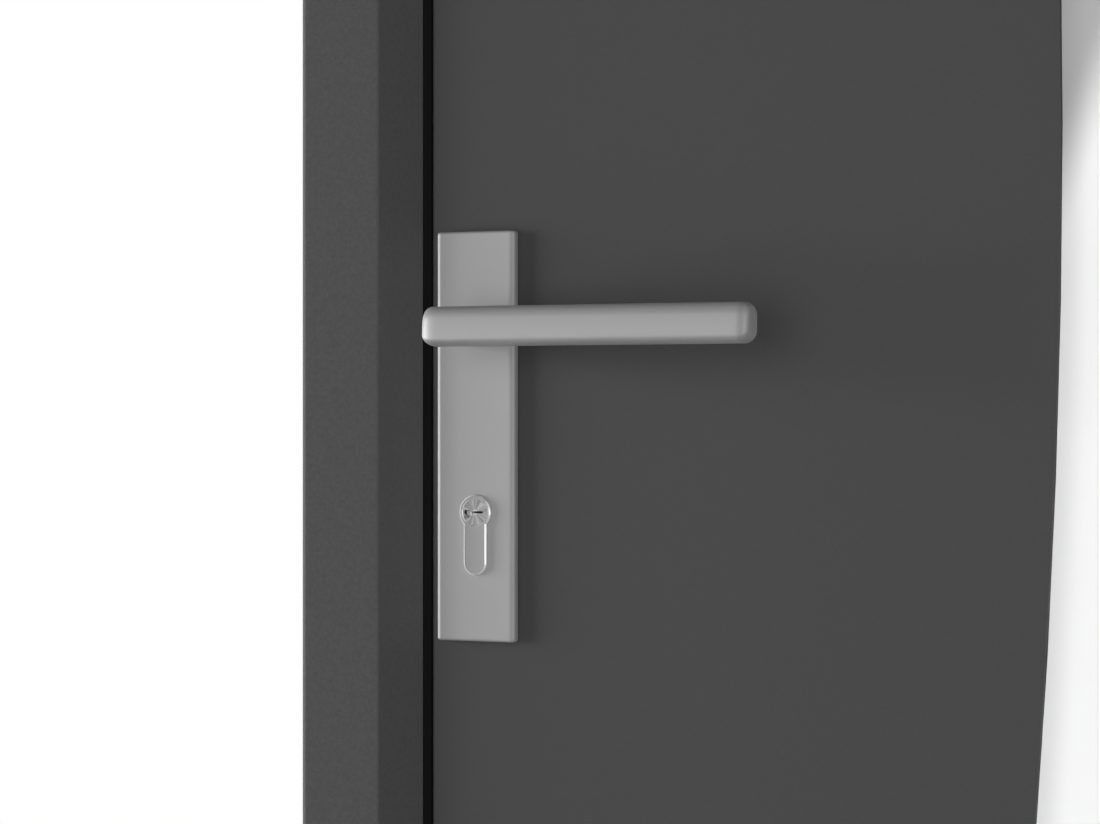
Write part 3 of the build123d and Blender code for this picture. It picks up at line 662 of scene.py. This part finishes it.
def screw_rows_tree():
    """Places a head on every point, turned to the point's facing and scaled to its radius."""
    tree = bpy.data.node_groups.new("screw_rows", "GeometryNodeTree")
    add_socket(tree, "Points", "NodeSocketGeometry")
    add_socket(tree, "Head", "NodeSocketObject")
    add_socket(tree, "Finish", "NodeSocketMaterial")
    add_socket(tree, "Screws", "NodeSocketGeometry", "OUTPUT")
    given = add_node(tree, "NodeGroupInput")
    result = add_node(tree, "NodeGroupOutput")
    head = add_node(tree, "GeometryNodeObjectInfo")
    facing = add_node(tree, "GeometryNodeInputNamedAttribute", data_type="FLOAT_VECTOR")
    facing.inputs["Name"].default_value = "facing"
    radius = add_node(tree, "GeometryNodeInputNamedAttribute", data_type="FLOAT")
    radius.inputs["Name"].default_value = "radius"
    turn = add_node(tree, "FunctionNodeAlignRotationToVector", axis="Z")
    heads = add_node(tree, "GeometryNodeInstanceOnPoints")
    real = add_node(tree, "GeometryNodeRealizeInstances")
    finish = add_node(tree, "GeometryNodeSetMaterial")
    tree.links.new(given.outputs["Head"], head.inputs["Object"])
    tree.links.new(facing.outputs["Attribute"], turn.inputs["Vector"])
    tree.links.new(given.outputs["Points"], heads.inputs["Points"])
    tree.links.new(head.outputs["Geometry"], heads.inputs["Instance"])
    tree.links.new(turn.outputs["Rotation"], heads.inputs["Rotation"])
    tree.links.new(radius.outputs["Attribute"], heads.inputs["Scale"])
    tree.links.new(heads.outputs["Instances"], real.inputs["Geometry"])
    tree.links.new(real.outputs["Geometry"], finish.inputs["Geometry"])
    tree.links.new(given.outputs["Finish"], finish.inputs["Material"])
    tree.links.new(finish.outputs["Geometry"], result.inputs["Screws"])
    return tree


def rib_rows_tree():
    """Lays a rib at the first place and at every step from it."""
    tree = bpy.data.node_groups.new("rib_rows", "GeometryNodeTree")
    add_socket(tree, "Carrier", "NodeSocketGeometry")
    add_socket(tree, "Rib", "NodeSocketObject")
    add_socket(tree, "Count", "NodeSocketInt")
    add_socket(tree, "First", "NodeSocketVector")
    add_socket(tree, "Step", "NodeSocketVector")
    add_socket(tree, "Finish", "NodeSocketMaterial")
    add_socket(tree, "Ribs", "NodeSocketGeometry", "OUTPUT")
    given = add_node(tree, "NodeGroupInput")
    result = add_node(tree, "NodeGroupOutput")
    rib = add_node(tree, "GeometryNodeObjectInfo")
    places = add_node(tree, "GeometryNodeMeshLine")
    ribs = add_node(tree, "GeometryNodeInstanceOnPoints")
    real = add_node(tree, "GeometryNodeRealizeInstances")
    finish = add_node(tree, "GeometryNodeSetMaterial")
    tree.links.new(given.outputs["Rib"], rib.inputs["Object"])
    tree.links.new(given.outputs["Count"], places.inputs["Count"])
    tree.links.new(given.outputs["First"], places.inputs["Start Location"])
    tree.links.new(given.outputs["Step"], places.inputs["Offset"])
    tree.links.new(places.outputs["Mesh"], ribs.inputs["Points"])
    tree.links.new(rib.outputs["Geometry"], ribs.inputs["Instance"])
    tree.links.new(ribs.outputs["Instances"], real.inputs["Geometry"])
    tree.links.new(real.outputs["Geometry"], finish.inputs["Geometry"])
    tree.links.new(given.outputs["Finish"], finish.inputs["Material"])
    tree.links.new(finish.outputs["Geometry"], result.inputs["Ribs"])
    return tree


def grow(name, carrier, tree, settings, body):
    """The mesh that a tree makes on a carrier, as a plain piece that rides on a body."""
    maker = bpy.data.objects.new(name + "_maker", carrier)
    bpy.context.collection.objects.link(maker)
    modifier = maker.modifiers.new("detail", "NODES")
    modifier.node_group = tree
    for socket in tree.interface.items_tree:
        if socket.name in settings:
            modifier[socket.identifier] = settings[socket.name]
    evaluated = maker.evaluated_get(bpy.context.evaluated_depsgraph_get())
    mesh = bpy.data.meshes.new_from_object(evaluated)
    mesh.name = name
    maker.modifiers.remove(modifier)
    bpy.data.objects.remove(maker)
    piece = bpy.data.objects.new(name, mesh)
    bpy.context.collection.objects.link(piece)
    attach(piece, body)


def screw_points(name, screws):
    """Points for a list of screws: place, facing and head radius."""
    mesh = bpy.data.meshes.new(name)
    mesh.from_pydata([place for place, facing, radius in screws], [], [])
    facings = mesh.attributes.new("facing", "FLOAT_VECTOR", "POINT")
    for spot, (place, facing, radius) in zip(facings.data, screws):
        spot.vector = facing
    radii = mesh.attributes.new("radius", "FLOAT", "POINT")
    for spot, (place, facing, radius) in zip(radii.data, screws):
        spot.value = radius
    return mesh


def hinge_screws(side):
    """Screws of the three hinges, on the leaf's plates or on the frame's."""
    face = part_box("inner_skin")[1][1] + HINGE_PLATE + SCREW_PROUD
    screws = []
    for count in (1, 2, 3):
        low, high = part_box(f"{side}_knuckle_{count}")
        middle = (low[2] + high[2]) / 2
        columns = [low[0] + column for column in LEAF_HINGE_COLUMNS]
        row = LEAF_HINGE_ROW
        if side == "frame":
            columns = [high[0] - FRAME_HINGE_COLUMN]
            row = FRAME_HINGE_ROW
        for x in columns:
            for z in (middle - row, middle + row):
                screws.append(((x, face, z), (0.0, 1.0, 0.0), HINGE_SCREW))
    return screws


def strike_screws():
    """A screw at each end of every strike."""
    screws = []
    for node in ("latch_strike", "lower_strike", "middle_strike", "upper_strike"):
        low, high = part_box(node)
        for z in (low[2] + STRIKE_SCREW_END, high[2] - STRIKE_SCREW_END):
            place = (high[0] + SCREW_PROUD, (low[1] + high[1]) / 2, z)
            screws.append((place, (1.0, 0.0, 0.0), LOCK_SCREW))
    return screws


def faceplate_screws():
    """Screws down the lock's faceplate."""
    low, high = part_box("lock_faceplate")
    middle = (low[1] + high[1]) / 2
    return [
        ((low[0] - SCREW_PROUD, middle, z), (-1.0, 0.0, 0.0), LOCK_SCREW) for z in FACEPLATE_SCREWS
    ]


def inner_plate_screws():
    """The two screws that hold both handle plates, seen from inside."""
    low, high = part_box("inner_plate")
    middle = (low[0] + high[0]) / 2
    return [
        ((middle, high[1] + SCREW_PROUD, z), (0.0, 1.0, 0.0), PLATE_SCREW)
        for z in (low[2] + PLATE_SCREW_END, high[2] - PLATE_SCREW_END)
    ]


def door_screws():
    """All screws, one piece for the frame and one for the leaf."""
    head = screw_head()
    tree = screw_rows_tree()
    settings = {"Head": head, "Finish": lock_steel}
    frame_points = screw_points("frame_screw_points", hinge_screws("frame") + strike_screws())
    leaf_points = screw_points(
        "leaf_screw_points", hinge_screws("leaf") + faceplate_screws() + inner_plate_screws()
    )
    grow("frame_screws", frame_points, tree, settings, "frame")
    grow("leaf_screws", leaf_points, tree, settings, "leaf")
    bpy.data.objects.remove(head)


def threshold_ribs():
    """Grip ribs on the threshold's nose, between the jambs."""
    low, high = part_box("threshold")
    rib = grip_rib(high[0] - low[0] - 2.0 * RIB_END)
    rise = NOSE_FALL / NOSE_DEPTH
    first = Vector((0.0, low[1] + RIB_STEP, high[2] - NOSE_FALL + RIB_STEP * rise))
    settings = {
        "Rib": rib, "Count": RIB_COUNT, "First": first, "Step": Vector((0.0, RIB_STEP, RIB_STEP * rise)),
        "Finish": mill_aluminium,
    }
    carrier = bpy.data.meshes.new("rib_carrier")
    grow("threshold_ribs", carrier, rib_rows_tree(), settings, "frame")
    bpy.data.objects.remove(rib)


door_joints = frame["record"]["behaviour"]["joints"]
lever_joint = next(joint for joint in door_joints if joint["name"] == "lever_turn")
leaf_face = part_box("outer_skin")[0][1]
room_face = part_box("inner_skin")[1][1]
handle_axis = Vector((lever_joint["pos_m"][0], leaf_face, lever_joint["pos_m"][2]))

outer_bar = lever_bar("outer_lever_bar", "outer_lever", leaf_face, 1)
lever_bar("inner_lever_bar", "inner_lever", room_face, -1)
door_screws()
threshold_ribs()
key_pin("outer_key_pin", "outer_plug", 1, "key_plug")
key_ward("outer_key_ward", "outer_plug", 1, "key_plug")
key_pin("inner_key_pin", "inner_plug", -1, "leaf")
key_ward("inner_key_ward", "inner_plug", -1, "leaf")


# Studio

def studio_floor():
    """Pale floor under the door that fades into the white surroundings."""
    mesh = bpy.data.meshes.new("floor")
    shape = bmesh.new()
    bmesh.ops.create_grid(shape, x_segments=1, y_segments=1, size=FLOOR_SIZE)
    shape.to_mesh(mesh)
    shape.free()
    floor = bpy.data.objects.new("floor", mesh)
    bpy.context.collection.objects.link(floor)
    material, tree, shader, place = start_material("floor_pale")
    tone = ramp(tree, noise(tree, place, 0.4), 0.98, 1.02)
    tree.links.new(shade(tree, FLOOR_PALE, tone), shader.inputs["Base Color"])
    shader.inputs["Roughness"].default_value = 0.8
    shader.inputs["Specular IOR Level"].default_value = 0.1
    outward = add_node(tree, "ShaderNodeVectorMath", operation="LENGTH")
    tree.links.new(place, outward.inputs[0])
    faded = spread(tree, outward.outputs["Value"], *FLOOR_FADE, 0.0, 1.0)
    path = add_node(tree, "ShaderNodeLightPath")
    white = add_node(tree, "ShaderNodeEmission")
    white.inputs["Color"].default_value = (1.0, 1.0, 1.0, 1.0)
    surface = add_node(tree, "ShaderNodeMixShader")
    tree.links.new(combine(tree, "MULTIPLY", faded, path.outputs["Is Camera Ray"]), surface.inputs["Fac"])
    tree.links.new(shader.outputs["BSDF"], surface.inputs[1])
    tree.links.new(white.outputs["Emission"], surface.inputs[2])
    output = tree.nodes["Material Output"]
    tree.links.new(surface.outputs["Shader"], output.inputs["Surface"])
    mesh.materials.append(material)


def studio_world():
    """White surroundings for the camera, the metal and the glass, a softer room for the light."""
    world = bpy.data.worlds.new("studio")
    bpy.context.scene.world = world
    world.use_nodes = True
    tree = world.node_tree
    tree.nodes.clear()
    output = add_node(tree, "ShaderNodeOutputWorld")
    path = add_node(tree, "ShaderNodeLightPath")
    seen = combine(tree, "MAXIMUM", path.outputs["Is Camera Ray"], path.outputs["Is Transmission Ray"])
    white = combine(tree, "MAXIMUM", seen, path.outputs["Is Glossy Ray"])
    place = add_node(tree, "ShaderNodeTexCoord")
    way = add_node(tree, "ShaderNodeSeparateXYZ")
    tree.links.new(place.outputs["Generated"], way.inputs["Vector"])
    room = spread(tree, way.outputs["Z"], *ROOM_RISE, ROOM_LIGHT, ROOM_LIGHT * ROOM_CEILING)
    level = add_node(tree, "ShaderNodeMix", data_type="FLOAT")
    tree.links.new(white, level.inputs["Factor"])
    tree.links.new(room, level.inputs["A"])
    level.inputs["B"].default_value = 1.0
    sky = add_node(tree, "ShaderNodeBackground")
    sky.inputs["Color"].default_value = (1.0, 1.0, 1.0, 1.0)
    tree.links.new(level.outputs["Result"], sky.inputs["Strength"])
    tree.links.new(sky.outputs["Background"], output.inputs["Surface"])


def soft_lamp(name, setup, shadow):
    """A soft box that looks at the handle's axis, as a fill without a shadow or as a lamp with one."""
    offset, width, height, power = setup
    lamp = bpy.data.lights.new(name, "AREA")
    lamp.shape = "RECTANGLE"
    lamp.size = width
    lamp.size_y = height
    lamp.energy = power
    lamp.use_shadow = shadow
    holder = bpy.data.objects.new(name, lamp)
    bpy.context.collection.objects.link(holder)
    holder.location = handle_axis + Vector(offset)
    holder.rotation_euler = (-Vector(offset)).to_track_quat("-Z", "Y").to_euler()
    return holder


def gather(name, objects):
    """A named collection of objects for a lamp's links."""
    made = bpy.data.collections.new(name)
    for one in objects:
        made.objects.link(one)
    return made


def photo_camera(handle):
    """Level camera at the photograph's viewpoint."""
    lens = bpy.data.cameras.new("camera")
    lens.sensor_width = SENSOR_MM
    lens.lens = FOCAL_PX / PHOTO_WIDTH_PX * SENSOR_MM
    camera = bpy.data.objects.new("camera", lens)
    bpy.context.collection.objects.link(camera)
    camera.location = handle + Vector((CAMERA_RIGHT, -CAMERA_BACK, -CAMERA_BELOW))
    camera.rotation_euler = (radians(90.0), 0.0, radians(CAMERA_YAW))
    bpy.context.scene.camera = camera


# The frame stands proud of the leaf, so the grazing lamp on the left is shaded by the outer handle and
# its cylinder alone, and one lamp on the right lights only the frame and its reveal
handle_set = [nodes_of_door[node] for node in ("outer_plate", "cylinder_body", "outer_plug")]
handle_set.append(outer_bar)
frame_members = [nodes_of_door[node] for node in frame["record"]["behaviour"]["bodies"]["frame"]]

studio_floor()
studio_world()
soft_lamp("front_softbox", FRONT_LAMP, True)
grazing_lamp = soft_lamp("grazing_softbox", GRAZING_LAMP, True)
grazing_lamp.light_linking.blocker_collection = gather("handle_set", handle_set)
soft_lamp("right_fill", RIGHT_LAMP, False)
reveal_lamp = soft_lamp("reveal_fill", REVEAL_LAMP, False)
reveal_lamp.light_linking.receiver_collection = gather("frame_members", frame_members)
soft_lamp("back_softbox", BACK_LAMP, True)
photo_camera(handle_axis)
bpy.context.scene.view_settings.view_transform = "Standard"
